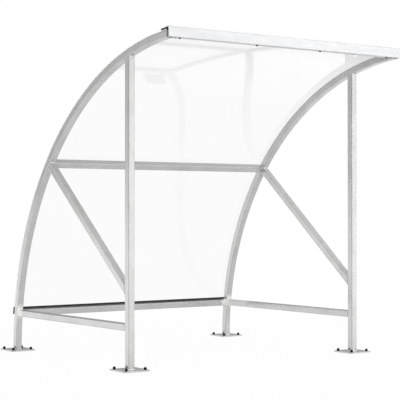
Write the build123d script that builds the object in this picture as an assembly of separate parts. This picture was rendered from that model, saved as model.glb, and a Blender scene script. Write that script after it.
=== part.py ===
from build123d import *
import math
import os

# Open-fronted cycle shelter: side frames of galvanised square tube carry a clear sheet bent over their hoops.
# Millimetres. Origin on the ground at the middle of the footprint, +X right seen from the front,
# +Y to the back, +Z up.

# Layout of the side frames
frame_spacing = 2000.0
frame_depth = 1600.0
front_overhang = 500.0
hoop_radius = 2200.0
lower_rail_height = 290.0
mid_rail_height = 1420.0
brace_foot_height = 540.0

# Square tube
tube_size = 50.0
tube_wall = 3.0
tube_corner = 6.0
drain_hole_diameter = 12.0
drain_hole_rise = 14.0

# Base plates
plate_size = 200.0
plate_thickness = 10.0
plate_corner = 6.0
plate_hole_diameter = 14.0
plate_hole_spacing = 150.0

# Clear sheet
sheet_thickness = 5.0
sheet_low_height = 283.0
sheet_front_setback = 20.0

# Dark edge strips
strip_width = 54.0
strip_thickness = 12.0
strip_corner = 3.0
front_strip_setback = 34.0
rear_strip_low_height = 277.0
sill_strip_depth = 8.0
sill_strip_height = 5.0

# Folded front fascia
fascia_height = 70.0
fascia_thickness = 3.0
fascia_bend = 5.0
fascia_top_depth = 40.0
fascia_top_rise = 5.0
fascia_foot_depth = 55.0
fascia_notch_clearance = 4.0

# Closing plates on the front ends of the hoops
hoop_setback = 30.0
cap_thickness = 5.0

# Clearances
seat_gap = 0.3
overrun = 20.0

# Places worked out from the sizes above
post_y = (front_overhang - frame_depth - plate_size / 2) / 2
foot_y = post_y + frame_depth
fascia_face_y = post_y - front_overhang
arc_y = foot_y - hoop_radius
arc_z = plate_thickness
hoop_outer = hoop_radius + tube_size / 2
hoop_inner = hoop_radius - tube_size / 2
sheet_inner = hoop_outer + seat_gap
sheet_outer = sheet_inner + sheet_thickness
strip_inner = sheet_outer + seat_gap
strip_outer = strip_inner + strip_thickness
shelter_width = frame_spacing + tube_size
arc_axis = Axis((0, arc_y, arc_z), (1, 0, 0))


def angle_at_height(height, radius):
    """Angle round the hoop, in degrees from the foot, of a point at this height."""
    return math.degrees(math.asin((height - arc_z) / radius))


def angle_at_depth(y, radius):
    """Angle round the hoop, in degrees from the foot, of a point at this depth."""
    return math.degrees(math.acos((y - arc_y) / radius))


hoop_end_angle = angle_at_depth(fascia_face_y + hoop_setback, hoop_radius)
lower_rail_angle = angle_at_height(lower_rail_height, hoop_radius)
mid_rail_angle = angle_at_height(mid_rail_height, hoop_radius)


def tube_section():
    """Section of the square tube with rounded corners, hollow inside."""
    outside = RectangleRounded(tube_size, tube_size, tube_corner)
    hollow_size = tube_size - 2 * tube_wall
    return outside - RectangleRounded(hollow_size, hollow_size, tube_corner - tube_wall)


def round_the_hoop(angle):
    """Place on the arc's axis, turned so that local Y points outward at this angle and local Z along the arc."""
    return Pos(0, arc_y, arc_z) * Rot(angle, 0, 0)


def inside_of_hoop(x):
    """Cylinder that fills the inside of a hoop, clear of its tube by the seat gap."""
    return Pos(x, arc_y, arc_z) * Rot(0, 90, 0) * Cylinder(hoop_inner - seat_gap, tube_size + 2 * overrun)


def drain_hole(x, y):
    """Cutter for the draining holes, through both side walls of an upright just over its plate."""
    height = plate_thickness + drain_hole_rise
    return Pos(x, y, height) * Rot(0, 90, 0) * Cylinder(drain_hole_diameter / 2, tube_size + 2 * overrun)


def hoop(x):
    """Curved tube that rises from the rear plate and bends forward over the bay."""
    section = Pos(x, foot_y, arc_z) * tube_section()
    return revolve(section, arc_axis, hoop_end_angle) - drain_hole(x, foot_y)


def hoop_cap(x):
    """Plate that closes the front end of a hoop."""
    face = RectangleRounded(tube_size, tube_size, tube_corner)
    return round_the_hoop(hoop_end_angle) * Pos(x, hoop_radius, 0) * extrude(face, cap_thickness)


def front_post(x):
    """Upright at the front, cut at the top to the curve of the hoop that it carries."""
    length = hoop_radius
    upright = Pos(x, post_y, plate_thickness) * extrude(tube_section(), length)
    return (upright & inside_of_hoop(x)) - drain_hole(x, post_y)


def side_rail(x):
    """Low rail of a side frame, from the post to the curve of the hoop."""
    start = post_y + tube_size / 2
    length = foot_y - start
    rail = Pos(x, start, lower_rail_height) * Rot(-90, 0, 0) * extrude(tube_section(), length)
    return rail & inside_of_hoop(x)


def brace(x):
    """Diagonal of a side frame, from the post up to the hoop beside the middle rail."""
    angle = math.radians(mid_rail_angle)
    top_y = arc_y + hoop_radius * math.cos(angle)
    top_z = arc_z + hoop_radius * math.sin(angle)
    start_y = post_y + tube_size / 2
    run = top_y - start_y
    rise = top_z - brace_foot_height
    slope = math.degrees(math.atan2(rise, run))
    length = math.hypot(run, rise)
    tube = Pos(0, 0, -tube_size) * extrude(tube_section(), length + 2 * tube_size)
    tube = Pos(x, start_y, brace_foot_height) * Rot(slope - 90, 0, 0) * tube
    post_face = Plane(origin=(x, start_y, 0), z_dir=(0, 1, 0))
    return split(tube, post_face, Keep.TOP) & inside_of_hoop(x)


def rear_rail(angle):
    """Cross rail between the hoops, turned to lie flush with them."""
    length = frame_spacing - tube_size
    rail = Pos(-length / 2, 0, 0) * Rot(0, 90, 0) * extrude(tube_section(), length)
    return round_the_hoop(angle) * Pos(0, hoop_radius - seat_gap, 0) * rail


def base_plate(x, y):
    """Square plate with an anchor hole near each corner."""
    plate = extrude(RectangleRounded(plate_size, plate_size, plate_corner), plate_thickness)
    hole = Cylinder(plate_hole_diameter / 2, 2 * plate_thickness + overrun)
    holes = GridLocations(plate_hole_spacing, plate_hole_spacing, 2, 2) * hole
    return Pos(x, y, 0) * (plate - holes)


def bent_band(start_angle, end_angle, inner_radius, thickness, corner=0):
    """Full-width band bent to the hoops between two angles, its edges rounded where a corner is given."""
    band = Rectangle(shelter_width, thickness)
    band = Pos(0, arc_y + inner_radius + thickness / 2, arc_z) * band
    solid = revolve(band, arc_axis, end_angle - start_angle)
    if corner:
        long_edges = solid.edges().filter_by(Axis.X)
        outer_edges = long_edges.sort_by(lambda edge: arc_axis_distance(edge.center()))[-2:]
        solid = fillet(outer_edges, corner)
    return solid.rotate(arc_axis, start_angle)


def arc_axis_distance(point):
    """Distance of a point from the axis of the hoops."""
    return math.hypot(point.Y - arc_y, point.Z - arc_z)


def roof_sheet():
    """Clear sheet over the hoops, from behind the lower rail to inside the fascia."""
    start = angle_at_height(sheet_low_height, sheet_inner)
    end = angle_at_depth(fascia_face_y + sheet_front_setback, sheet_inner)
    return bent_band(start, end, sheet_inner, sheet_thickness)


def front_edge_strip():
    """Dark strip on the front edge of the sheet, its own front edge under the fascia."""
    end = angle_at_depth(fascia_face_y + front_strip_setback, strip_inner)
    start = end - math.degrees(strip_width / strip_inner)
    return bent_band(start, end, strip_inner, strip_thickness, strip_corner)


def rear_edge_strip():
    """Dark strip outside the sheet's lower edge."""
    start = angle_at_height(rear_strip_low_height, strip_inner)
    end = start + math.degrees(strip_width / strip_inner)
    return bent_band(start, end, strip_inner, strip_thickness, strip_corner)


def rear_sill_strip():
    """Dark strip that stands on the lower rail and backs the inside of the sheet."""
    length = frame_spacing - tube_size - 2 * seat_gap
    bar = extrude(Rectangle(length, sill_strip_depth), sill_strip_height)
    outer_face = hoop_outer - 2 * seat_gap
    place = Pos(0, outer_face - sill_strip_depth / 2, tube_size / 2)
    return round_the_hoop(lower_rail_angle) * place * bar


def front_fascia():
    """Folded plate across the front: sloping top lip over the strip, upright face and foot turned back."""
    lip_y = fascia_face_y + fascia_top_depth
    lip_low = arc_z + math.sqrt(strip_outer**2 - (lip_y - arc_y) ** 2) + seat_gap
    face_top = lip_low + fascia_thickness + fascia_top_rise
    face_low = face_top - fascia_height
    foot_y_end = fascia_face_y + fascia_foot_depth
    inner_y = fascia_face_y + fascia_thickness
    outline = Polyline(
        (lip_y, lip_low + fascia_thickness),
        (fascia_face_y, face_top),
        (fascia_face_y, face_low),
        (foot_y_end, face_low),
        (foot_y_end, face_low + fascia_thickness),
        (inner_y, face_low + fascia_thickness),
        (inner_y, face_top - fascia_thickness),
        (lip_y, lip_low),
        close=True,
    )
    profile = make_face(outline)
    outer_bends = profile.vertices().filter_by(lambda corner: abs(corner.X - fascia_face_y) < seat_gap)
    profile = fillet(outer_bends, fascia_bend)
    inner_bends = profile.vertices().filter_by(lambda corner: abs(corner.X - inner_y) < seat_gap)
    profile = fillet(inner_bends, fascia_bend - fascia_thickness)
    side = Plane(origin=(-shelter_width / 2, 0, 0), x_dir=(0, 1, 0), z_dir=(1, 0, 0))
    fascia = extrude(side * profile, shelter_width)
    return fascia - fascia_notches(face_low)


def fascia_notches(face_low):
    """Cutters that free the fascia's foot round the ends of the hoops."""
    width = tube_size + fascia_notch_clearance + overrun
    depth = fascia_foot_depth + overrun
    low = fascia_face_y + fascia_thickness + fascia_bend
    height = fascia_thickness + fascia_bend + overrun
    inner_x = frame_spacing / 2 - tube_size / 2 - fascia_notch_clearance
    cutter = Box(width, depth, height, align=(Align.MIN, Align.MIN, Align.MIN))
    right = Pos(inner_x, low, face_low - overrun) * cutter
    left = Pos(-inner_x - width, low, face_low - overrun) * cutter
    return [right, left]


def build_parts():
    """Every piece of the shelter by name."""
    parts = {}
    for side, x in (("left", -frame_spacing / 2), ("right", frame_spacing / 2)):
        parts[f"{side}_hoop"] = hoop(x)
        parts[f"{side}_hoop_cap"] = hoop_cap(x)
        parts[f"{side}_front_post"] = front_post(x)
        parts[f"{side}_side_rail"] = side_rail(x)
        parts[f"{side}_brace"] = brace(x)
        parts[f"{side}_front_base_plate"] = base_plate(x, post_y)
        parts[f"{side}_rear_base_plate"] = base_plate(x, foot_y)
    parts["rear_lower_rail"] = rear_rail(lower_rail_angle)
    parts["rear_middle_rail"] = rear_rail(mid_rail_angle)
    parts["rear_sill_strip"] = rear_sill_strip()
    parts["rear_edge_strip"] = rear_edge_strip()
    parts["front_edge_strip"] = front_edge_strip()
    parts["front_fascia"] = front_fascia()
    parts["roof_sheet"] = roof_sheet()
    return parts


os.makedirs("parts", exist_ok=True)
for name, solid in build_parts().items():
    export_step(solid, f"parts/{name}.step")
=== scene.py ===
"""Open-fronted bike shelter of galvanised square tube with a clear bent roof, for display.

Lengths are in metres and angles in degrees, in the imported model's frame: X to the right, Y to
the back, Z up. A size or share without a unit is set against the measure that its comment names.
"""

import logging
import math
import random
from collections.abc import Callable, Iterator
from contextlib import contextmanager
from dataclasses import dataclass
from enum import Enum

import bmesh
import bpy
from mathutils import Euler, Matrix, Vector


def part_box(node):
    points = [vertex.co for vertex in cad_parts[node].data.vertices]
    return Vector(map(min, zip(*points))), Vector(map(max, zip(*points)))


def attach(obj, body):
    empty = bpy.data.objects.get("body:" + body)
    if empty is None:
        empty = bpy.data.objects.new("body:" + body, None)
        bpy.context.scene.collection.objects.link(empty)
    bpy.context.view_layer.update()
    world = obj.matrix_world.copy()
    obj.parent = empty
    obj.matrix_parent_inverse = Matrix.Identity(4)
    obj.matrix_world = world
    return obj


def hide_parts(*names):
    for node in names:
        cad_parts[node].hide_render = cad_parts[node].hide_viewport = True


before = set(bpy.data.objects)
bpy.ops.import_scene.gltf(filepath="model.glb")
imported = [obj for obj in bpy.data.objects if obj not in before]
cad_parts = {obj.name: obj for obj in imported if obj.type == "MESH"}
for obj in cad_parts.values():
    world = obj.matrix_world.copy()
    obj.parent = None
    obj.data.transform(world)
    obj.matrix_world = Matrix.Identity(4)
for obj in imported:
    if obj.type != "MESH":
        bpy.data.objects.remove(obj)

LOG = logging.getLogger("shelter")
# A direction runs along an axis when its part along that axis is larger than this.
ALONG = 0.9
# Distance in metres under which a place lies on a plane, and one under which points are doubles.
HAIR = 1e-5
DOUBLE = 1e-6
# Lies between a light path's depth before the first bounce of a kind and after it.
BOUNCE = 0.5
# Weight of each finer octave in a cloudy pattern.
OCTAVE_WEIGHT = 0.55
HEXAGON = 6
WHITE = (1.0, 1.0, 1.0, 1.0)
Pair = tuple[float, float]
Point = tuple[float, float, float]
Colour = tuple[float, float, float]
Socket = bpy.types.NodeSocket


class Slot(Enum):
    """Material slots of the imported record."""

    TUBE = "galvanised_steel"
    FASCIA = "fascia_steel"
    STRIP = "dark_strip"
    SHEET = "clear_sheet"


class Side(Enum):
    """The two side frames, by the sign of their X."""

    LEFT = -1
    RIGHT = 1

    @property
    def label(self) -> str:
        """The side's name as the nodes spell it."""
        return self.name.lower()


class Run(Enum):
    """Stretch of a pattern's coordinates: zinc patches are longer along a tube."""

    X = (0.45, 1.0, 1.0)
    Y = (1.0, 0.45, 1.0)
    Z = (1.0, 1.0, 0.45)
    SHEET = (0.5, 3.0, 3.0)
    EVEN = (1.0, 1.0, 1.0)


class Bit(Enum):
    """What is picked in edit mode."""

    FACE = "FACE"
    EDGE = "EDGE"


class Graph:
    """Node tree of a material or of the surround while it is put together.

    Blender's mix node takes numbers at its inputs 2 and 3, and colours at 6 and 7.
    """

    def __init__(self, owner: bpy.types.Material | bpy.types.World) -> None:
        """Start an empty tree.

        Args:
            owner: the material or surround that the tree belongs to.
        """
        owner.use_nodes = True
        self.tree = owner.node_tree
        self.tree.nodes.clear()

    @staticmethod
    def material(name: str) -> tuple[bpy.types.Material, "Graph"]:
        """Start a new material.

        Args:
            name: name of the material.

        Returns:
            The material and its empty tree.
        """
        made = bpy.data.materials.new(name)
        return made, Graph(made)

    def add(self, kind: str, sockets: dict | None = None, **settings: object) -> bpy.types.Node:
        """Add one node, set it up and wire it.

        Args:
            kind: Blender's name of the node type.
            sockets: value or feeding socket for inputs, by name or index.
            settings: properties of the node itself.

        Returns:
            The new node.
        """
        node = self.tree.nodes.new(kind)
        for key, value in settings.items():
            setattr(node, key, value)
        for key, value in (sockets or {}).items():
            if isinstance(value, Socket):
                self.tree.links.new(value, node.inputs[key])
            else:
                node.inputs[key].default_value = value
        return node

    def place(self, run: Run = Run.EVEN) -> Socket:
        """Object coordinates, stretched.

        Args:
            run: stretch along each axis.

        Returns:
            The mapped vector.
        """
        where = self.add("ShaderNodeTexCoord").outputs["Object"]
        sockets = {"Vector": where, "Scale": run.value}
        return self.add("ShaderNodeMapping", sockets).outputs["Vector"]

    def noise(self, scale: float, octaves: float, run: Run = Run.EVEN) -> Socket:
        """Cloudy pattern.

        Args:
            scale: patches per metre.
            octaves: how many finer patterns are added.
            run: stretch of the coordinates.

        Returns:
            The pattern's factor.
        """
        sockets = {
            "Vector": self.place(run),
            "Scale": scale,
            "Detail": octaves,
            "Roughness": OCTAVE_WEIGHT,
        }
        return self.add("ShaderNodeTexNoise", sockets).outputs["Fac"]

    def crystals(self, pattern: Socket, scale: float, spread: float) -> Socket:
        """Break a pattern up into zinc crystals.

        Args:
            pattern: pattern that the crystals are added to.
            scale: crystals per metre.
            spread: how far a crystal lifts or lowers the pattern.

        Returns:
            The broken pattern.
        """
        cells = self.add("ShaderNodeTexVoronoi", {"Vector": self.place(), "Scale": scale})
        shade = self.add("ShaderNodeSeparateColor", {"Color": cells.outputs["Color"]}).outputs[0]
        return self.math("ADD", pattern, self.spread(shade, -spread, spread))

    def math(self, work: str, first: object, second: object) -> Socket:
        """Combine two values.

        Args:
            work: the operation's name.
            first: number or socket.
            second: number or socket.

        Returns:
            The result.
        """
        return self.add("ShaderNodeMath", {0: first, 1: second}, operation=work).outputs[0]

    def spread(self, value: Socket, low: float, high: float) -> Socket:
        """Stretch a factor between two values.

        Args:
            value: factor from 0 to 1.
            low: result at 0.
            high: result at 1.

        Returns:
            The stretched value.
        """
        limits = {"Value": value, "To Min": low, "To Max": high}
        return self.add("ShaderNodeMapRange", limits).outputs["Result"]

    def fade(self, value: Socket, start: float, end: float, top: float = 1.0) -> Socket:
        """Rise smoothly from 0 between two limits.

        Args:
            value: what is set against the limits.
            start: limit where the rise starts.
            end: limit where it ends.
            top: result past the end.

        Returns:
            The result, from 0 to the top.
        """
        limits = {"Value": value, "From Min": start, "From Max": end, "To Max": top}
        node = self.add("ShaderNodeMapRange", limits, interpolation_type="SMOOTHSTEP")
        return node.outputs["Result"]

    def ramp(self, value: Socket, limits: Pair, dark: Colour, light: Colour) -> Socket:
        """Turn a factor into a colour.

        Args:
            value: factor from 0 to 1.
            limits: factors where the dark colour ends and the light one starts.
            dark: colour at the lower limit.
            light: colour at the upper limit.

        Returns:
            The colour.
        """
        node = self.add("ShaderNodeValToRGB", {"Fac": value})
        for element, limit, colour in zip(node.color_ramp.elements, limits, (dark, light)):
            element.position = limit
            element.color = (*colour, 1.0)
        return node.outputs["Color"]

    def mix(self, share: Socket, first: object, second: object) -> Socket:
        """Mix two numbers.

        Args:
            share: share of the second number.
            first: number or socket.
            second: number or socket.

        Returns:
            The mixed number.
        """
        return self.add("ShaderNodeMix", {0: share, 2: first, 3: second}).outputs[0]

    def blend(self, share: Socket, first: object, second: object) -> Socket:
        """Mix two colours.

        Args:
            share: share of the second colour.
            first: colour or socket.
            second: colour or socket.

        Returns:
            The mixed colour.
        """
        sockets = {0: share, 6: first, 7: second}
        return self.add("ShaderNodeMix", sockets, data_type="RGBA").outputs[2]

    def overlay(self, share: Socket, first: Socket, second: Socket) -> Socket:
        """Mix two shaders.

        Args:
            share: share of the second shader.
            first: output of a shader.
            second: output of a shader.

        Returns:
            The mixed shader.
        """
        return self.add("ShaderNodeMixShader", {0: share, 1: first, 2: second}).outputs[0]

    def bump(self, height: Socket, strength: float, distance: float) -> Socket:
        """Turn a height into a normal.

        Args:
            height: pattern of heights.
            strength: share of the effect.
            distance: depth in metres.

        Returns:
            The bumped normal.
        """
        sockets = {"Height": height, "Strength": strength, "Distance": distance}
        return self.add("ShaderNodeBump", sockets).outputs["Normal"]

    def finish(self, sockets: dict, lamp_share: float = 0.0) -> None:
        """Close a material's tree with one principled shader.

        Args:
            sockets: value or feeding socket of the shader's inputs.
            lamp_share: share of the lamps' light that a clear surface lets straight through.
                Such a surface also lets through what metal outside it mirrors.
        """
        shader = self.add("ShaderNodeBsdfPrincipled", sockets).outputs[0]
        if lamp_share:
            path = self.add("ShaderNodeLightPath").outputs
            outside = self.math("LESS_THAN", path["Transmission Depth"], BOUNCE)
            mirrored = self.math("MULTIPLY", path["Is Glossy Ray"], outside)
            lit = self.math("MULTIPLY", path["Is Shadow Ray"], lamp_share)
            clear = self.add("ShaderNodeBsdfTransparent").outputs[0]
            shader = self.overlay(self.math("MAXIMUM", lit, mirrored), shader, clear)
        self.add("ShaderNodeOutputMaterial", {"Surface": shader})


@dataclass(frozen=True)
class Grain:
    """Fine unevenness of a surface."""

    scale: float
    octaves: float
    strength: float
    depth: float

    def normal(self, graph: Graph) -> Socket:
        """Normal that the unevenness gives."""
        return graph.bump(graph.noise(self.scale, self.octaves), self.strength, self.depth)


@dataclass(frozen=True)
class Galvanised:
    """Hot-dip zinc: cloudy patches, faint crystals, satin, and bright matt patches round joints,
    partly dressed zinc and partly painted light.
    """

    name: str
    dark: Colour = (0.5, 0.505, 0.495)
    light: Colour = (0.61, 0.615, 0.61)
    tone_limits: Pair = (0.25, 0.8)
    patches: float = 11.0
    patch_octaves: float = 3.0
    run: Run = Run.Z
    crystals: float = 85.0
    crystal_spread: float = 0.045
    roughness: Pair = (0.17, 0.22)
    metal: float = 0.6
    grain: Grain = Grain(240.0, 3.0, 0.02, 0.0004)
    # Bright matt patches round these points: lighter dressed zinc by the welds, and painted light
    # where the joints look lit.
    dressed: tuple[Point, ...] = ()
    dressed_radius: float = 0.075
    # Share of the radius inside which the zinc is fully bright, and how far its edge wanders.
    dressed_core: float = 0.5
    dressed_ragged: float = 0.03
    dressed_tone: Colour = (0.95, 0.95, 0.935)
    dressed_metal: float = 0.0
    dressed_roughness: float = 0.5

    def material(self) -> bpy.types.Material:
        """Build the zinc's nodes.

        Returns:
            The material.
        """
        made, graph = Graph.material(self.name)
        cloud = graph.noise(self.patches, self.patch_octaves, self.run)
        tone = graph.crystals(cloud, self.crystals, self.crystal_spread)
        colour = graph.ramp(tone, self.tone_limits, self.dark, self.light)
        metal, rough = self.metal, graph.spread(cloud, *self.roughness)
        # Paint in the bright matt patch: dressed zinc, partly a painted pool of light.
        if self.dressed:
            near = self._near_joints(graph, cloud)
            colour = graph.blend(near, colour, (*self.dressed_tone, 1.0))
            metal = graph.spread(near, self.metal, self.dressed_metal)
            rough = graph.math("MAXIMUM", rough, graph.spread(near, 0.0, self.dressed_roughness))
        graph.finish({
            "Base Color": colour,
            "Metallic": metal,
            "Roughness": rough,
            "Normal": self.grain.normal(graph),
        })
        return made

    def _near_joints(self, graph: Graph, cloud: Socket) -> Socket:
        """Share of the bright patch round the joints, which is dressed zinc and painted light.

        Args:
            graph: the tree being built.
            cloud: pattern that breaks the patch's edge.

        Returns:
            Factor from 0 to 1.
        """
        share = None
        where = graph.add("ShaderNodeTexCoord").outputs["Object"]
        ragged = graph.spread(cloud, -self.dressed_ragged, self.dressed_ragged)
        core = self.dressed_radius * self.dressed_core
        for point in self.dressed:
            away = graph.add("ShaderNodeVectorMath", {0: where, 1: point}, operation="DISTANCE")
            edge = graph.math("ADD", away.outputs["Value"], ragged)
            limits = {"Value": edge, "From Min": self.dressed_radius, "From Max": core}
            near = graph.add("ShaderNodeMapRange", limits).outputs["Result"]
            share = near if share is None else graph.math("MAXIMUM", share, near)
        return share


@dataclass(frozen=True)
class BrightSheet:
    """Bright zinc-coated sheet with faint rolling streaks."""

    name: str = "fascia_zinc"
    dark: Colour = (0.62, 0.63, 0.635)
    light: Colour = (0.72, 0.725, 0.73)
    tone_limits: Pair = (0.3, 0.7)
    streaks: float = 9.0
    streak_octaves: float = 4.0
    crystals: float = 70.0
    crystal_spread: float = 0.045
    roughness: Pair = (0.36, 0.5)
    metal: float = 0.4
    grain: Grain = Grain(500.0, 2.0, 0.08, 0.0003)

    def material(self) -> bpy.types.Material:
        """Build the sheet metal's nodes.

        Returns:
            The material.
        """
        made, graph = Graph.material(self.name)
        streak = graph.noise(self.streaks, self.streak_octaves, Run.SHEET)
        tone = graph.crystals(streak, self.crystals, self.crystal_spread)
        graph.finish({
            "Base Color": graph.ramp(tone, self.tone_limits, self.dark, self.light),
            "Metallic": self.metal,
            "Roughness": graph.spread(tone, *self.roughness),
            "Normal": self.grain.normal(graph),
        })
        return made


@dataclass(frozen=True)
class MattRubber:
    """Dark rubber with a fine dusty grain."""

    name: str = "matt_rubber"
    dark: Colour = (0.02, 0.02, 0.02)
    light: Colour = (0.036, 0.036, 0.035)
    tone_limits: Pair = (0.35, 0.7)
    dust: float = 28.0
    dust_octaves: float = 4.0
    roughness: Pair = (0.62, 0.78)
    gloss: float = 0.3
    grain: Grain = Grain(900.0, 2.0, 0.2, 0.0003)

    def material(self) -> bpy.types.Material:
        """Build the rubber's nodes.

        Returns:
            The material.
        """
        made, graph = Graph.material(self.name)
        dust = graph.noise(self.dust, self.dust_octaves)
        graph.finish({
            "Base Color": graph.ramp(dust, self.tone_limits, self.dark, self.light),
            "Roughness": graph.spread(dust, *self.roughness),
            "Specular IOR Level": self.gloss,
            "Normal": self.grain.normal(graph),
        })
        return made


@dataclass(frozen=True)
class ClearPlastic:
    """Clear glossy plastic with a very faint waviness."""

    name: str = "clear_plastic"
    tint: Colour = (0.968, 0.971, 0.969)
    # Darker end of the tint's waves, as a share of the tint.
    faded: float = 0.994
    tone_limits: Pair = (0.3, 0.7)
    waves: float = 2.5
    wave_octaves: float = 1.0
    roughness: Pair = (0.04, 0.06)
    refraction: float = 1.3
    lamp_share: float = 0.93

    def material(self) -> bpy.types.Material:
        """Build the clear plastic's nodes.

        Returns:
            The material.
        """
        made, graph = Graph.material(self.name)
        wave = graph.noise(self.waves, self.wave_octaves)
        low = tuple(self.faded * part for part in self.tint)
        graph.finish({
            "Base Color": graph.ramp(wave, self.tone_limits, low, self.tint),
            "Roughness": graph.spread(wave, *self.roughness),
            "IOR": self.refraction,
            "Transmission Weight": 1.0,
        }, self.lamp_share)
        return made


@dataclass(frozen=True)
class SawnEdge:
    """Frosted saw-cut edge of the clear sheet, with fine saw lines."""

    name: str = "sawn_edge"
    dark: Colour = (0.8, 0.82, 0.82)
    light: Colour = (0.93, 0.95, 0.95)
    tone_limits: Pair = (0.3, 0.7)
    saw_lines: float = 320.0
    saw_octaves: float = 2.0
    roughness: Pair = (0.5, 0.7)
    bump: float = 0.2
    depth: float = 0.0003

    def material(self) -> bpy.types.Material:
        """Build the frosted edge's nodes.

        Returns:
            The material.
        """
        made, graph = Graph.material(self.name)
        saw = graph.noise(self.saw_lines, self.saw_octaves)
        graph.finish({
            "Base Color": graph.ramp(saw, self.tone_limits, self.dark, self.light),
            "Roughness": graph.spread(saw, *self.roughness),
            "Normal": graph.bump(saw, self.bump, self.depth),
        })
        return made


@dataclass(frozen=True)
class FixingSteel:
    """Steel of bolts and screws, blackened unless told otherwise, paler on worn spots."""

    name: str
    dark: Colour = (0.006, 0.006, 0.006)
    worn: Colour = (0.02, 0.02, 0.02)
    tone_limits: Pair = (0.45, 0.75)
    spots: float = 260.0
    spot_octaves: float = 3.0
    roughness: Pair = (0.38, 0.6)
    metal: float = 0.2
    gloss: float = 0.2
    grain: Grain = Grain(1500.0, 2.0, 0.15, 0.0002)

    def material(self) -> bpy.types.Material:
        """Build the steel's nodes.

        Returns:
            The material.
        """
        made, graph = Graph.material(self.name)
        wear = graph.noise(self.spots, self.spot_octaves)
        graph.finish({
            "Base Color": graph.ramp(wear, self.tone_limits, self.dark, self.worn),
            "Metallic": self.metal,
            "Roughness": graph.spread(wear, *self.roughness),
            "Specular IOR Level": self.gloss,
            "Normal": self.grain.normal(graph),
        })
        return made


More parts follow.
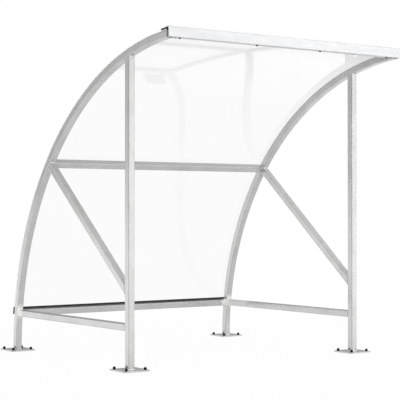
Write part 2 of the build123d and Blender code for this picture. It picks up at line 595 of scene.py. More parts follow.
class Bench:
    """Hand tools: objects are added, picked at and shaped in edit mode."""

    @staticmethod
    def only(piece: bpy.types.Object | None) -> None:
        """Leave a single piece, or nothing, selected.

        Args:
            piece: the piece to keep selected and active.
        """
        bpy.ops.object.select_all(action="DESELECT")
        if piece is not None:
            piece.select_set(True)
            bpy.context.view_layer.objects.active = piece

    @staticmethod
    def start(name: str) -> bpy.types.Object:
        """Name the primitive that was just added.

        Args:
            name: name of the new piece.

        Returns:
            The new piece, the only one selected.
        """
        piece = bpy.context.object
        piece.name = name
        piece.data.name = name
        Bench.only(piece)
        return piece

    @staticmethod
    def rod(name: str, sides: int, radius: float, depth: float, level: float) -> bpy.types.Object:
        """Add an upright cylinder on the Z axis.

        Args:
            name: name of the new piece.
            sides: how many sides it has.
            radius: distance from its axis to its corners.
            depth: its length.
            level: height of its middle.

        Returns:
            The cylinder, with its place applied.
        """
        bpy.ops.mesh.primitive_cylinder_add(
            vertices=sides, radius=radius, depth=depth, location=(0, 0, level)
        )
        piece = Bench.start(name)
        Bench.settle(piece)
        return piece

    @staticmethod
    @contextmanager
    def editing(piece: bpy.types.Object) -> Iterator[None]:
        """Open a piece in edit mode with nothing picked.

        Args:
            piece: the piece to open.
        """
        Bench.only(piece)
        bpy.ops.object.mode_set(mode="EDIT")
        bpy.ops.mesh.select_all(action="DESELECT")
        yield
        bpy.ops.object.mode_set(mode="OBJECT")

    @staticmethod
    def pick(piece: bpy.types.Object, bit: Bit, test: Callable[[Vector, Vector], bool]) -> None:
        """Select the faces or edges that pass a test, and nothing else.

        Args:
            piece: the piece in edit mode.
            bit: faces or edges.
            test: told the middle, and a face's normal or an edge's direction.
        """
        bpy.ops.mesh.select_mode(type=bit.value)
        bpy.ops.mesh.select_all(action="DESELECT")
        mesh = bmesh.from_edit_mesh(piece.data)
        if bit is Bit.FACE:
            for face in mesh.faces:
                face.select = test(face.calc_center_median(), face.normal)
        else:
            for edge in mesh.edges:
                first, second = (vert.co for vert in edge.verts)
                edge.select = test((first + second) / 2, (second - first).normalized())
        mesh.select_flush_mode()
        bmesh.update_edit_mesh(piece.data)

    @staticmethod
    def pick_top(piece: bpy.types.Object) -> None:
        """Select the faces that look up, and nothing else."""
        Bench.pick(piece, Bit.FACE, lambda middle, normal: normal.z > ALONG)

    @staticmethod
    def rise(height: float, scale: float, level: float) -> None:
        """Extrude the picked faces along Z and size the new rim about the Z axis.

        Args:
            height: how far up.
            scale: size of the new rim against the old one.
            level: height of the new rim.
        """
        bpy.ops.mesh.extrude_region_move(TRANSFORM_OT_translate={"value": (0, 0, height)})
        bpy.ops.transform.resize(value=(scale, scale, 1.0), center_override=(0, 0, level))

    @staticmethod
    def tidy(piece: bpy.types.Object, angle: float = 35.0) -> None:
        """Merge doubles, turn the faces outward and shade smooth up to an angle.

        Args:
            piece: the piece to tidy.
            angle: largest angle in degrees that shades smooth.
        """
        with Bench.editing(piece):
            bpy.ops.mesh.select_all(action="SELECT")
            bpy.ops.mesh.remove_doubles(threshold=DOUBLE)
            bpy.ops.mesh.normals_make_consistent(inside=False)
        bpy.ops.object.shade_smooth_by_angle(angle=math.radians(angle))

    @staticmethod
    def join(pieces: list[bpy.types.Object], name: str) -> bpy.types.Object:
        """Join pieces into one mesh.

        Args:
            pieces: the pieces, the first of which stays.
            name: name of the result.

        Returns:
            The joined piece.
        """
        Bench.only(pieces[0])
        for piece in pieces:
            piece.select_set(True)
        bpy.ops.object.join()
        return Bench.start(name)

    @staticmethod
    def carve(piece: bpy.types.Object, tool: bpy.types.Object, work: str) -> None:
        """Cut a piece with another, which is used up.

        Args:
            piece: the piece to cut.
            tool: the cutting shape.
            work: DIFFERENCE or INTERSECT.
        """
        Bench.only(piece)
        cut = piece.modifiers.new("cut", "BOOLEAN")
        cut.operation = work
        cut.solver = "EXACT"
        cut.object = tool
        bpy.ops.object.modifier_apply(modifier=cut.name)
        bpy.data.objects.remove(tool)

    @staticmethod
    def settle(piece: bpy.types.Object) -> None:
        """Apply a piece's place to its mesh.

        Args:
            piece: the piece to settle at the origin.
        """
        Bench.only(piece)
        bpy.ops.object.transform_apply(location=True, rotation=True, scale=True)

    @staticmethod
    def copy(pattern: bpy.types.Object, name: str, place: Vector, turn: Euler) -> bpy.types.Object:
        """Copy a pattern to a place, with its own mesh.

        Args:
            pattern: piece modelled at the origin.
            name: name of the copy.
            place: where the copy goes.
            turn: how it is turned.

        Returns:
            The copy.
        """
        Bench.only(pattern)
        bpy.ops.object.duplicate(linked=False)
        twin = Bench.start(name)
        twin.location = place
        twin.rotation_euler = turn
        Bench.settle(twin)
        return twin

    @staticmethod
    def hand_over(piece: bpy.types.Object, material: bpy.types.Material, slot: Slot) -> None:
        """Dress a finished piece and tie it to the shelter.

        Args:
            piece: the finished piece.
            material: what it is made of.
            slot: not used.
        """
        piece.data.materials.clear()
        piece.data.materials.append(material)
        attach(piece, "root")
        LOG.info("%s: %d faces", piece.name, len(piece.data.polygons))

    @staticmethod
    def dress(node: str, material: bpy.types.Material) -> None:
        """Give a carried-over node its finish.

        Args:
            node: name of the node.
            material: what it is made of.
        """
        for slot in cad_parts[node].material_slots:
            slot.material = material
        LOG.info("%s: %s", node, material.name)


@dataclass
class SideFrames:
    """Tubes, rails and plates of the frame, with the weld beads that join them."""

    half_spacing: float = 1.0
    tube: float = 0.05
    corner: float = 0.006
    post_y: float = -0.6
    foot_y: float = 1.0
    plate: float = 0.01
    arc_y: float = -1.2
    arc_z: float = 0.01
    hoop_radius: float = 2.2
    rail_height: float = 0.29
    middle_height: float = 1.42
    brace_foot: float = 0.54
    bead: float = 0.0042
    bead_length: float = 0.042
    bead_sides: int = 12
    bead_cuts: int = 17
    # Rounding of a bead's ends, as a share of its radius.
    bead_end: float = 0.6
    ring_cuts: int = 15
    # An edge of the ring that lies along X or Y more than this is one of its straight sides.
    straight: float = 0.999
    ripple: float = 0.0011
    ripple_size: float = 0.004
    weld_smooth: float = 50.0
    # Reach of the bright patch on the left and right rail, and its middle's place from the joint.
    # It is small dressed zinc on the left and is widened into painted light on the right rail.
    dressed_reach: Pair = (0.075, 0.4)
    dressed_left: float = 0.02
    dressed_front: float = 0.01
    # Tone of the bright patch round the hoops' joints: dressed zinc, partly painted light.
    hoop_dressed: Colour = (0.78, 0.78, 0.765)
    plate_patches: float = 16.0

    def hoop_y(self, height: float) -> float:
        """Depth of the hoop's inner face at a height."""
        return self.arc_y + math.sqrt(self._inner**2 - (height - self.arc_z) ** 2)

    def hoop_z(self, depth: float) -> float:
        """Height of the hoop's inner face at a depth."""
        return self.arc_z + math.sqrt(self._inner**2 - (depth - self.arc_y) ** 2)

    @property
    def _inner(self) -> float:
        """Radius of the hoop's inner face."""
        return self.hoop_radius - self.tube / 2

    def angle(self, height: float) -> float:
        """Angle round the hoop, from its foot, at a height."""
        return math.asin((height - self.arc_z) / self.hoop_radius)

    def dress(self) -> None:
        """Give the tubes and plates their zinc."""
        rail = self.rail_height
        joints = []
        for side, reach in zip(Side, self.dressed_reach):
            x = side.value * self.half_spacing
            joint = (x - self.dressed_left, self.hoop_y(rail) - self.dressed_front, rail)
            joints.append(joint)
            name = f"galvanised_{side.label}_rail"
            zinc = Galvanised(name, run=Run.Y, dressed=(joint,), dressed_radius=reach)
            Bench.dress(f"{side.label}_side_rail", zinc.material())
        tone = self.hoop_dressed
        hoop = Galvanised("galvanised_hoop", dressed=tuple(joints), dressed_tone=tone).material()
        upright = Galvanised("galvanised_upright").material()
        # Only the cross rail's right joint gets the patch: a painted pool of light on its lit end.
        cross = Galvanised("galvanised_cross", run=Run.X, dressed=(joints[1],)).material()
        plate = Galvanised("galvanised_plate", run=Run.EVEN, patches=self.plate_patches).material()
        for side in Side:
            Bench.dress(f"{side.label}_hoop", hoop)
            for part in ("hoop_cap", "front_post", "brace"):
                Bench.dress(f"{side.label}_{part}", upright)
            for part in ("front_base_plate", "rear_base_plate"):
                Bench.dress(f"{side.label}_{part}", plate)
        for part in ("rear_lower_rail", "rear_middle_rail"):
            Bench.dress(part, cross)

    def build(self) -> None:
        """Model the weld beads and lay them on every joint."""
        # Pale matt beads: zinc paint on the welds, made paler still as painted light that hides the
        # shade the beads catch.
        zinc = Galvanised(
            "galvanised_weld",
            dark=(0.78, 0.785, 0.775),
            light=(0.92, 0.92, 0.91),
            patches=60.0,
            roughness=(0.4, 0.5),
            metal=0.15,
        ).material()
        bead = self._bead()
        for name, place, along in self._joints():
            turn = Vector((1, 0, 0)).rotation_difference(along).to_euler()
            Bench.hand_over(Bench.copy(bead, f"weld_{name}", place, turn), zinc, Slot.TUBE)
        bpy.data.objects.remove(bead)
        ring = self._ring()
        for side in Side:
            for label, y in (("post", self.post_y), ("hoop", self.foot_y)):
                place = Vector((side.value * self.half_spacing, y, self.plate))
                piece = Bench.copy(ring, f"weld_{side.label}_{label}_foot", place, Euler((0, 0, 0)))
                Bench.hand_over(piece, zinc, Slot.TUBE)
        bpy.data.objects.remove(ring)

    def _bead(self) -> bpy.types.Object:
        """Straight weld bead along X, rippled, with rounded ends.

        Returns:
            The pattern bead at the origin.
        """
        bpy.ops.mesh.primitive_cylinder_add(
            vertices=self.bead_sides,
            radius=self.bead,
            depth=self.bead_length,
            rotation=(0, math.radians(90), 0),
        )
        piece = Bench.start("bead_pattern")
        Bench.settle(piece)
        end = self.bead_length / 2 - HAIR
        with Bench.editing(piece):
            Bench.pick(piece, Bit.EDGE, lambda middle, along: abs(along.x) > ALONG)
            bpy.ops.mesh.subdivide(number_cuts=self.bead_cuts)
            Bench.pick(piece, Bit.EDGE, lambda middle, along: abs(middle.x) > end)
            bpy.ops.mesh.bevel(offset=self.bead * self.bead_end, segments=3, profile=0.5)
        self._roughen(piece)
        Bench.tidy(piece, self.weld_smooth)
        return piece

    def _ring(self) -> bpy.types.Object:
        """Weld bead round the foot of a tube, rippled.

        Returns:
            The pattern ring at the origin.
        """
        bpy.ops.mesh.primitive_plane_add(size=self.tube)
        piece = Bench.start("ring_pattern")
        with Bench.editing(piece):
            bpy.ops.mesh.select_mode(type="VERT")
            bpy.ops.mesh.select_all(action="SELECT")
            bpy.ops.mesh.bevel(affect="VERTICES", offset=self.corner, segments=4)
            Bench.pick(
                piece,
                Bit.EDGE,
                lambda middle, along: max(abs(along.x), abs(along.y)) > self.straight,
            )
            bpy.ops.mesh.subdivide(number_cuts=self.ring_cuts)
            bpy.ops.mesh.select_all(action="SELECT")
            bpy.ops.mesh.delete(type="ONLY_FACE")
        bpy.ops.object.convert(target="CURVE")
        path = bpy.context.object
        path.data.bevel_depth = self.bead
        path.data.bevel_resolution = 3
        bpy.ops.object.convert(target="MESH")
        piece = Bench.start("ring_pattern")
        self._roughen(piece)
        Bench.tidy(piece, self.weld_smooth)
        return piece

    def _roughen(self, piece: bpy.types.Object) -> None:
        """Ripple a bead with an applied displacement.

        Args:
            piece: the bead.
        """
        Bench.only(piece)
        cloud = bpy.data.textures.new("weld_ripple", "CLOUDS")
        cloud.noise_scale = self.ripple_size
        ripple = piece.modifiers.new("ripple", "DISPLACE")
        ripple.texture = cloud
        ripple.texture_coords = "LOCAL"
        ripple.strength = self.ripple
        ripple.mid_level = 0.5
        bpy.ops.object.modifier_apply(modifier=ripple.name)

    def _joints(self) -> Iterator[tuple[str, Vector, Vector]]:
        """Places of the straight beads.

        Yields:
            Name, middle and direction of each bead.
        """
        across = Vector((1, 0, 0))
        half = self.tube / 2
        back = self.post_y + half
        top = self.rail_height + half
        low = self.rail_height - half
        for side in Side:
            x = side.value * self.half_spacing
            for label, y in (("front", self.post_y - half), ("back", back)):
                yield f"{side.label}_post_head_{label}", Vector((x, y, self.hoop_z(y))), across
            for label, z in (("upper", top), ("lower", low)):
                yield f"{side.label}_rail_post_{label}", Vector((x, back, z)), across
                yield f"{side.label}_rail_hoop_{label}", Vector((x, self.hoop_y(z), z)), across
            for name, y, z in self._brace_corners():
                yield f"{side.label}_brace_{name}", Vector((x, y, z)), across
            inner_x = side.value * (self.half_spacing - half)
            for rail, height in (("lower", self.rail_height), ("middle", self.middle_height)):
                turn = self.angle(height)
                outward = Vector((0, math.cos(turn), math.sin(turn)))
                onward = Vector((0, -math.sin(turn), math.cos(turn)))
                middle = Vector((inner_x, self.arc_y, self.arc_z)) + outward * self.hoop_radius
                for label, step in (("above", half), ("below", -half)):
                    yield f"{side.label}_{rail}_cross_{label}", middle + onward * step, outward

    def _brace_corners(self) -> Iterator[tuple[str, float, float]]:
        """Corners that the brace makes with the post and the hoop.

        Yields:
            Name, depth and height of each corner.
        """
        back = self.post_y + self.tube / 2
        turn = self.angle(self.middle_height)
        top_y = self.arc_y + self.hoop_radius * math.cos(turn)
        slope = math.atan2(self.middle_height - self.brace_foot, top_y - back)
        rise = self.tube / 2 / math.cos(slope)
        for label, step in (("upper", rise), ("lower", -rise)):
            foot = self.brace_foot + step
            yield f"post_{label}", back, foot
            y, z = back - self.arc_y, foot - self.arc_z
            run = y * math.cos(slope) + z * math.sin(slope)
            reach = -run + math.sqrt(run**2 - y**2 - z**2 + self._inner**2)
            yield f"hoop_{label}", back + reach * math.cos(slope), foot + reach * math.sin(slope)


@dataclass
class GroundAnchors:
    """Washer, nut and threaded end on each hole of the base plates."""

    plates: tuple[Point, ...] = (
        (-1.0, -0.6, 0.01),
        (1.0, -0.6, 0.01),
        (-1.0, 1.0, 0.01),
        (1.0, 1.0, 0.01),
    )
    labels: tuple[str, ...] = ("left_front", "right_front", "left_rear", "right_rear")
    reach: float = 0.075
    washer_sides: int = 36
    washer_radius: float = 0.0105
    washer_hole: float = 0.0065
    washer_height: float = 0.002
    # Share of the radius past which an edge is on the washer's rim.
    washer_rim: float = 0.97
    washer_eased: float = 0.0004
    nut_flats: float = 0.0186
    nut_height: float = 0.0125
    nut_chamfer: float = 0.0011
    # Round face inside the chamfer, against the flats.
    nut_face: float = 0.95
    # Rim and floor of the countersink, each against the outline it starts from.
    nut_mouth: float = 0.78
    nut_bore: float = 0.88
    nut_sink: float = 0.0008
    turning_sides: int = 48
    # Radius of the turned shape that cuts the chamfers, against the nut's corners.
    turning_size: float = 1.004
    stud_sides: int = 24
    stud_radius: float = 0.0058
    stud_end: float = 0.0042
    thread: float = 0.00175
    # Root of the thread against its crest, then the tip: its height against the pitch, its rims.
    thread_root: float = 0.86
    tip_rise: float = 0.6
    tip_sizes: Pair = (0.8, 0.6)
    seed: int = 11

    def build(self) -> None:
        """Model one anchor and set it on every hole."""
        black = FixingSteel("black_fixing").material()
        pattern = Bench.join([self._washer(), self._nut(), self._stud()], "anchor_pattern")
        Bench.tidy(pattern)
        dice = random.Random(self.seed)
        for label, (x, y, z) in zip(self.labels, self.plates):
            corners = [(i, j) for i in (-1, 1) for j in (-1, 1)]
            for number, (i, j) in enumerate(corners, 1):
                place = Vector((x + i * self.reach, y + j * self.reach, z))
                turn = Euler((0, 0, dice.uniform(0, math.pi / 3)))
                piece = Bench.copy(pattern, f"anchor_{label}_{number}", place, turn)
                Bench.hand_over(piece, black, Slot.TUBE)
        bpy.data.objects.remove(pattern)

    def _washer(self) -> bpy.types.Object:
        """Flat washer with a hole and eased edges.

        Returns:
            The washer, standing on z = 0.
        """
        height = self.washer_height
        piece = Bench.rod(
            "washer_pattern", self.washer_sides, self.washer_radius, height, height / 2
        )
        outer = self.washer_radius * self.washer_rim
        with Bench.editing(piece):
            Bench.pick(piece, Bit.FACE, lambda middle, normal: abs(normal.z) > ALONG)
            bpy.ops.mesh.inset(thickness=self.washer_radius - self.washer_hole, use_individual=True)
            Bench.pick(piece, Bit.FACE, lambda middle, normal: middle.xy.length < HAIR)
            bpy.ops.mesh.bridge_edge_loops()
            Bench.pick(
                piece,
                Bit.EDGE,
                lambda middle, along: middle.xy.length > outer and abs(along.z) < ALONG,
            )
            bpy.ops.mesh.bevel(offset=self.washer_eased, segments=2)
        return piece

    def _nut(self) -> bpy.types.Object:
        """Hexagon nut with turned chamfers and a countersunk top.

        Returns:
            The nut, standing on the washer.
        """
        corner = self.nut_flats / math.sqrt(3)
        base = self.washer_height
        middle_z = base + self.nut_height / 2
        piece = Bench.rod("nut_pattern", HEXAGON, corner, self.nut_height, middle_z)
        straight = self.nut_height - 2 * self.nut_chamfer
        wide = corner * self.turning_size
        turned = Bench.rod("nut_turning", self.turning_sides, wide, straight, middle_z)
        rim = self.nut_flats / 2 * self.nut_face / corner
        with Bench.editing(turned):
            for sign in (1, -1):
                Bench.pick(turned, Bit.FACE, lambda middle, normal: normal.z * sign > ALONG)
                level = middle_z + sign * self.nut_height / 2
                Bench.rise(sign * self.nut_chamfer, rim, level)
        Bench.carve(piece, turned, "INTERSECT")
        top = base + self.nut_height
        with Bench.editing(piece):
            Bench.pick(
                piece,
                Bit.FACE,
                lambda middle, normal: normal.z > ALONG and middle.z > top - HAIR,
            )
            Bench.rise(0.0, self.nut_mouth, top)
            Bench.rise(-self.nut_sink, self.nut_bore, top - self.nut_sink)
        return piece

    def _stud(self) -> bpy.types.Object:
        """Threaded end of the anchor rod, from the ground up through the nut.

        Returns:
            The rod's end.
        """
        low = -self.plates[0][2]
        nut_top = self.washer_height + self.nut_height
        depth = nut_top - low - self.thread / 2
        middle_z = low + depth / 2
        piece = Bench.rod("stud_pattern", self.stud_sides, self.stud_radius, depth, middle_z)
        level = low + depth
        end = nut_top + self.stud_end
        tip = self.thread * self.tip_rise
        with Bench.editing(piece):
            Bench.pick_top(piece)
            while level + self.thread < end:
                for scale in (self.thread_root, 1 / self.thread_root):
                    level += self.thread / 2
                    Bench.rise(self.thread / 2, scale, level)
            for height, scale in zip((tip, 0.0), self.tip_sizes):
                Bench.rise(height, scale, level + tip)
        return piece


@dataclass
class Fascia:
    """Folded front plate with the screws under its foot."""

    screw_x: tuple[float, ...] = (-0.957, -0.924, -0.292, 0.268, 0.903, 0.936)
    screw_y: float = -1.077
    # Turn of each screw against the last one, in radians.
    screw_turn: float = 0.4
    flange_sides: int = 36
    flange_radius: float = 0.0095
    flange_height: float = 0.0022
    # Rise, size against the rim below and level of each rim, with heights against the flange's.
    flange_steps: tuple[Point, ...] = ((0.3, 0.93, 0.8), (0.2, 0.8, 1.0))
    head_flats: float = 0.012
    head_height: float = 0.0052
    head_sunk: float = 0.0003
    head_chamfer: float = 0.0009
    head_eased: float = 0.0005
    dull: Colour = (0.29, 0.29, 0.29)
    dull_worn: Colour = (0.38, 0.38, 0.38)

    def dress(self) -> None:
        """Give the plate its bright zinc."""
        Bench.dress("front_fascia", BrightSheet().material())

    def build(self) -> None:
        """Model one flanged screw and copy it along the foot, duller at both ends."""
        black = FixingSteel("black_screw").material()
        dull = FixingSteel("dull_screw", dark=self.dull, worn=self.dull_worn).material()
        ends = (1, len(self.screw_x))
        pattern = self._screw()
        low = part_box("front_fascia")[0][2]
        for number, x in enumerate(self.screw_x, 1):
            place = Vector((x, self.screw_y, low))
            turn = Euler((math.pi, 0, self.screw_turn * number))
            piece = Bench.copy(pattern, f"fascia_screw_{number}", place, turn)
            Bench.hand_over(piece, dull if number in ends else black, Slot.FASCIA)
        bpy.data.objects.remove(pattern)

    def _screw(self) -> bpy.types.Object:
        """Hexagon screw with a pressed-on flange, head upward.

        Returns:
            The pattern screw, standing on z = 0.
        """
        height = self.flange_height
        flange = Bench.rod(
            "flange_pattern", self.flange_sides, self.flange_radius, height / 2, height / 4
        )
        with Bench.editing(flange):
            Bench.pick_top(flange)
            for rise, scale, level in self.flange_steps:
                Bench.rise(height * rise, scale, height * level)
        corner = self.head_flats / math.sqrt(3)
        middle_z = height + self.head_height / 2 - self.head_sunk
        head = Bench.rod("head_pattern", HEXAGON, corner, self.head_height, middle_z)
        with Bench.editing(head):
            Bench.pick_top(head)
            bpy.ops.mesh.bevel(offset=self.head_chamfer, segments=2)
            Bench.pick(head, Bit.EDGE, lambda middle, along: abs(along.z) > ALONG)
            bpy.ops.mesh.bevel(offset=self.head_eased, segments=2)
        screw = Bench.join([flange, head], "screw_pattern")
        Bench.tidy(screw)
        return screw


@dataclass
class EdgeStrips:
    """Dark strips that clamp the sheet's edges, with their domed screws."""

    arc_y: float = -1.2
    arc_z: float = 0.01
    outer_radius: float = 2.2426
    rear_height: float = 0.307
    front_depth: float = -1.034
    count: int = 6
    first_x: float = -0.96
    head_sides: int = 30
    head_radius: float = 0.0075
    head_height: float = 0.0042
    # Size of each rim of the dome against the one below it.
    dome_sizes: Point = (0.94, 0.86, 0.72)
    dome_smooth: float = 40.0
    socket_radius: float = 0.0028
    # Paler rubber for the rear sill strip: painted light, standing in for the light it lacks in the
    # shade behind the sheet.
    dusty: Colour = (0.05, 0.05, 0.05)
    dusty_light: Colour = (0.068, 0.068, 0.067)

    def dress(self) -> None:
        """Give the strips their rubber."""
        rubber = MattRubber().material()
        for node in ("front_edge_strip", "rear_edge_strip"):
            Bench.dress(node, rubber)
        # The sill strip takes the paler rubber: painted light.
        dusty = MattRubber("dusty_rubber", dark=self.dusty, light=self.dusty_light)
        Bench.dress("rear_sill_strip", dusty.material())

    def build(self) -> None:
        """Model one domed screw and copy it along both outer strips."""
        black = FixingSteel("black_dome").material()
        pattern = self._dome()
        rear = math.asin((self.rear_height - self.arc_z) / self.outer_radius)
        front = math.acos((self.front_depth - self.arc_y) / self.outer_radius)
        pitch = -2 * self.first_x / (self.count - 1)
        for label, angle in (("rear", rear), ("front", front)):
            y = self.arc_y + self.outer_radius * math.cos(angle)
            z = self.arc_z + self.outer_radius * math.sin(angle)
            turn = Euler((angle - math.pi / 2, 0, 0))
            for number in range(self.count):
                place = Vector((self.first_x + pitch * number, y, z))
                piece = Bench.copy(pattern, f"{label}_strip_screw_{number + 1}", place, turn)
                Bench.hand_over(piece, black, Slot.STRIP)
        bpy.data.objects.remove(pattern)

    def _dome(self) -> bpy.types.Object:
        """Domed screw head with a hexagon socket.

        Returns:
            The pattern head, standing on z = 0.
        """
        step = self.head_height / (len(self.dome_sizes) + 1)
        piece = Bench.rod("dome_pattern", self.head_sides, self.head_radius, step, step / 2)
        with Bench.editing(piece):
            Bench.pick_top(piece)
            level = step
            for scale in self.dome_sizes:
                level += step
                Bench.rise(step, scale, level)
        height = self.head_height
        socket = Bench.rod("socket_tool", HEXAGON, self.socket_radius, height, height)
        Bench.carve(piece, socket, "DIFFERENCE")
        Bench.tidy(piece, self.dome_smooth)
        return piece


@dataclass
class RoofSheet:
    """Clear sheet bent over the hoops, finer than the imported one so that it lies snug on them."""

    node: str = "roof_sheet"
    width: float = 2.05
    inner_radius: float = 2.2253
    thickness: float = 0.005
    eased: float = 0.0006
    # Depth of the sheet's sawn side, against the easing.
    rim: float = 1.5
    smooth: float = 10.0
    arc_y: float = -1.2
    arc_z: float = 0.01
    low_height: float = 0.283
    bare_height: float = 0.335
    front_depth: float = -1.08
    steps: int = 180

    def build(self) -> None:
        """Sweep the sheet's section round the hoops."""
        start = math.asin((self.low_height - self.arc_z) / self.inner_radius)
        end = math.acos((self.front_depth - self.arc_y) / self.inner_radius)
        radius = self.inner_radius + self.thickness / 2
        place = (0.0, self.arc_y + radius * math.cos(start), self.arc_z + radius * math.sin(start))
        bpy.ops.mesh.primitive_plane_add(size=1.0, location=place, rotation=(start, 0, 0))
        piece = Bench.start("clear_roof")
        piece.scale = (self.width, self.thickness, 1.0)
        Bench.settle(piece)
        with Bench.editing(piece):
            bpy.ops.mesh.select_mode(type="VERT")
            bpy.ops.mesh.select_all(action="SELECT")
            bpy.ops.mesh.bevel(affect="VERTICES", offset=self.eased, segments=2)
            bpy.ops.mesh.select_all(action="SELECT")
            middle = (0.0, self.arc_y, self.arc_z)
            bpy.ops.mesh.spin(steps=self.steps, angle=end - start, center=middle, axis=(-1, 0, 0))
        Bench.tidy(piece, self.smooth)
        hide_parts(self.node)
        Bench.hand_over(piece, ClearPlastic().material(), Slot.SHEET)
        piece.data.materials.append(SawnEdge().material())
        rim = self.width / 2 - self.eased * self.rim
        with Bench.editing(piece):
            Bench.pick(
                piece,
                Bit.FACE,
                lambda middle, normal: abs(middle.x) > rim and middle.z > self.bare_height,
            )
            piece.active_material_index = 1
            bpy.ops.object.material_slot_assign()


@dataclass(frozen=True)
class Lamp:
    """One soft lamp of the studio."""

    name: str
    place: Point
    target: Point
    width: float
    height: float
    watts: float

    def hang(self) -> None:
        """Hang the lamp and aim it."""
        aim = Vector(self.target) - Vector(self.place)
        turn = aim.to_track_quat("-Z", "Y").to_euler()
        bpy.ops.object.light_add(type="AREA", location=self.place, rotation=turn)
        lamp = bpy.context.object
        lamp.name = self.name
        lamp.data.shape = "RECTANGLE"
        lamp.data.size = self.width
        lamp.data.size_y = self.height
        lamp.data.energy = self.watts
        lamp.visible_camera = False
        lamp.visible_glossy = False
        lamp.visible_transmission = False


@dataclass(frozen=True)
class Glow:
    """Soft brighter patch of the surround, which only the metal's reflections show."""

    bearing: float
    rise: float
    radius: float
    strength: float
    # Share of the radius inside which the patch has its full strength.
    core: float = 0.35

    def share(self, graph: Graph) -> Socket:
        """Strength of the patch in the direction of a ray.

        Args:
            graph: the surround's tree.

        Returns:
            The strength, fading to 0 at the patch's rim.
        """
        bearing, rise = math.radians(self.bearing), math.radians(self.rise)
        flat = math.cos(rise)
        middle = (flat * math.sin(bearing), -flat * math.cos(bearing), math.sin(rise))
        ray = graph.add("ShaderNodeTexCoord").outputs["Generated"]
        near = graph.add("ShaderNodeVectorMath", {0: ray, 1: middle}, operation="DOT_PRODUCT")
        start = math.cos(math.radians(self.radius))
        end = math.cos(math.radians(self.radius * self.core))
        return graph.fade(near.outputs["Value"], start, end, self.strength)


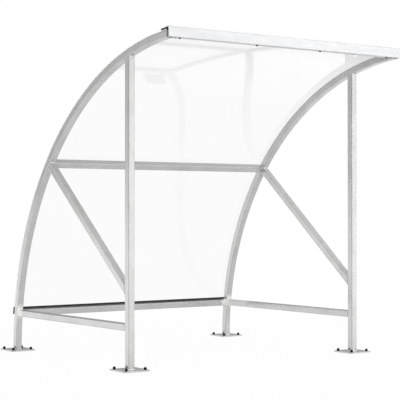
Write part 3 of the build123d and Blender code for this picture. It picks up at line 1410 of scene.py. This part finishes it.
@dataclass
class Studio:
    """Camera, pale floor, white surround and soft lamps."""

    camera_place: Point = (-5.719, -7.99, 1.0733)
    camera_yaw: float = 35.638
    camera_pitch: float = 0.462
    lens: float = 117.594
    film: float = 36.0
    sight: float = 200.0
    floor_sides: int = 96
    floor_radius: float = 12.0
    floor_fade: float = 5.0
    # Share of the fade's radius inside which the floor is whole.
    floor_core: float = 0.4
    floor_tone: Colour = (0.86, 0.86, 0.85)
    floor_white: float = 0.97
    fill: float = 0.4
    # What the metal mirrors at the front, the back left and the back right.
    mirror_floor: Point = (0.8, 0.95, 0.95)
    mirror_wall: Point = (0.56, 0.08, 0.45)
    corner_blend: float = 0.3
    horizon_blend: float = 0.02
    glows: tuple[Glow, ...] = (
        Glow(198.0, -6.0, 10.0, 1.3),
        Glow(216.0, -6.0, 10.0, 0.3),
        Glow(216.0, 4.0, 10.0, 0.73),
        Glow(224.0, 4.0, 10.0, 0.3),
        Glow(232.0, 24.0, 17.0, 0.7),
        Glow(210.0, 45.0, 25.0, 1.0),
        Glow(248.0, 42.0, 32.0, 0.7),
        Glow(28.0, 4.0, 14.0, 0.2),
        Glow(40.0, 4.0, 14.0, 0.93),
        Glow(35.0, 30.0, 14.0, 1.0),
        Glow(90.0, 45.0, 25.0, 0.45),
        Glow(124.0, -33.0, 20.0, 0.15),
        Glow(0.0, 90.0, 27.0, 0.6),
    )
    lamps: tuple[Lamp, ...] = (
        Lamp("lamp_front_high", (0.0, -5.0, 5.0), (0.0, 0.0, 1.0), 4.0, 2.0, 120.0),
        Lamp("lamp_front", (2.96, -6.34, 1.9), (0.0, 0.0, 1.3), 1.9, 3.8, 140.0),
        Lamp("lamp_front_right", (5.73, -4.02, 1.9), (0.0, 0.0, 1.3), 1.9, 3.8, 100.0),
        Lamp("lamp_left_low", (-9.0, -5.0, 1.2), (0.0, 0.0, 0.7), 4.0, 2.0, 500.0),
    )

    def build(self) -> None:
        """Set up everything round the shelter."""
        bpy.context.scene.view_settings.view_transform = "Standard"
        self._camera()
        self._floor()
        self._surround()
        for lamp in self.lamps:
            lamp.hang()
            LOG.info("%s: %.0f W", lamp.name, lamp.watts)

    def _camera(self) -> None:
        """Stand the camera where the photograph was taken."""
        turn = (math.radians(90 + self.camera_pitch), 0, math.radians(-self.camera_yaw))
        bpy.ops.object.camera_add(location=self.camera_place, rotation=turn)
        camera = bpy.context.object
        camera.name = "camera"
        camera.data.lens = self.lens
        camera.data.sensor_width = self.film
        camera.data.clip_end = self.sight
        bpy.context.scene.camera = camera

    def _seen(self, graph: Graph) -> Socket:
        """Factor of 1 for rays that see the background, straight, mirrored or through the sheet.

        Args:
            graph: the tree being built.

        Returns:
            The factor.
        """
        path = graph.add("ShaderNodeLightPath").outputs
        mirrored = graph.math("MAXIMUM", path["Is Camera Ray"], path["Is Glossy Ray"])
        looking = graph.math("MAXIMUM", mirrored, path["Is Transmission Ray"])
        direct = graph.math("LESS_THAN", path["Diffuse Depth"], BOUNCE)
        return graph.math("MULTIPLY", looking, direct)

    def _floor(self) -> None:
        """Lay a round pale floor that fades out at its rim and keeps the shadow."""
        bpy.ops.mesh.primitive_circle_add(
            vertices=self.floor_sides, radius=self.floor_radius, fill_type="NGON"
        )
        floor = Bench.start("floor")
        with Bench.editing(floor):
            bpy.ops.mesh.select_mode(type="FACE")
            bpy.ops.mesh.select_all(action="SELECT")
            bpy.ops.mesh.inset(thickness=self.floor_radius - self.floor_fade)
        pale, graph = Graph.material("pale_floor")
        matt = graph.add("ShaderNodeBsdfDiffuse", {"Color": (*self.floor_tone, 1.0)}).outputs[0]
        white = graph.add("ShaderNodeEmission", {"Strength": 1.0}).outputs[0]
        share = graph.math("MULTIPLY", self._seen(graph), self.floor_white)
        shown = graph.overlay(share, matt, white)
        where = graph.add("ShaderNodeTexCoord").outputs["Object"]
        away = graph.add("ShaderNodeVectorMath", {0: where}, operation="LENGTH").outputs["Value"]
        gone = graph.fade(away, self.floor_fade * self.floor_core, self.floor_fade)
        clear = graph.add("ShaderNodeBsdfTransparent").outputs[0]
        faded = graph.overlay(gone, shown, clear)
        graph.add("ShaderNodeOutputMaterial", {"Surface": faded})
        floor.data.materials.append(pale)
        floor.visible_glossy = False

    def _surround(self) -> None:
        """Hang a white surround, which is dimmer for the light that it sheds."""
        world = bpy.data.worlds.new("surround")
        bpy.context.scene.world = world
        graph = Graph(world)
        through = graph.add("ShaderNodeLightPath").outputs["Is Transmission Ray"]
        level = graph.spread(through, self.fill, 0.0)
        dim = graph.add("ShaderNodeBackground", {"Color": WHITE, "Strength": level}).outputs[0]
        depth = graph.add("ShaderNodeLightPath").outputs["Glossy Depth"]
        mirrored = graph.math("GREATER_THAN", depth, BOUNCE)
        bright = graph.mix(mirrored, 1.0, self._mirrored(graph))
        white = graph.add("ShaderNodeBackground", {"Color": WHITE, "Strength": bright}).outputs[0]
        both = graph.overlay(self._seen(graph), dim, white)
        graph.add("ShaderNodeOutputWorld", {"Surface": both})

    def _mirrored(self, graph: Graph) -> Socket:
        """Brightness that the metal mirrors: pale floor, greyer walls, soft panels.

        Args:
            graph: the surround's tree.

        Returns:
            The brightness in the direction of a ray.
        """
        ray = graph.add("ShaderNodeTexCoord").outputs["Generated"]
        parts = graph.add("ShaderNodeSeparateXYZ", {0: ray}).outputs
        to_right = graph.fade(parts["X"], -self.corner_blend, self.corner_blend)
        to_back = graph.fade(parts["Y"], -self.corner_blend, self.corner_blend)
        over = graph.fade(parts["Z"], -self.horizon_blend, self.horizon_blend)
        tones = []
        for front, left, right in (self.mirror_floor, self.mirror_wall):
            back = graph.spread(to_right, left, right)
            tones.append(graph.mix(to_back, front, back))
        level = graph.mix(over, *tones)
        for glow in self.glows:
            level = graph.math("ADD", level, glow.share(graph))
        return level


def main() -> None:
    """Dress the shelter piece by piece and set up the studio."""
    logging.basicConfig(level=logging.INFO, format="%(message)s")
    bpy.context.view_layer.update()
    Bench.only(None)
    frames = SideFrames()
    frames.dress()
    frames.build()
    GroundAnchors().build()
    for part in (Fascia(), EdgeStrips()):
        part.dress()
        part.build()
    RoofSheet().build()
    Studio().build()


if __name__ == "__main__":
    main()
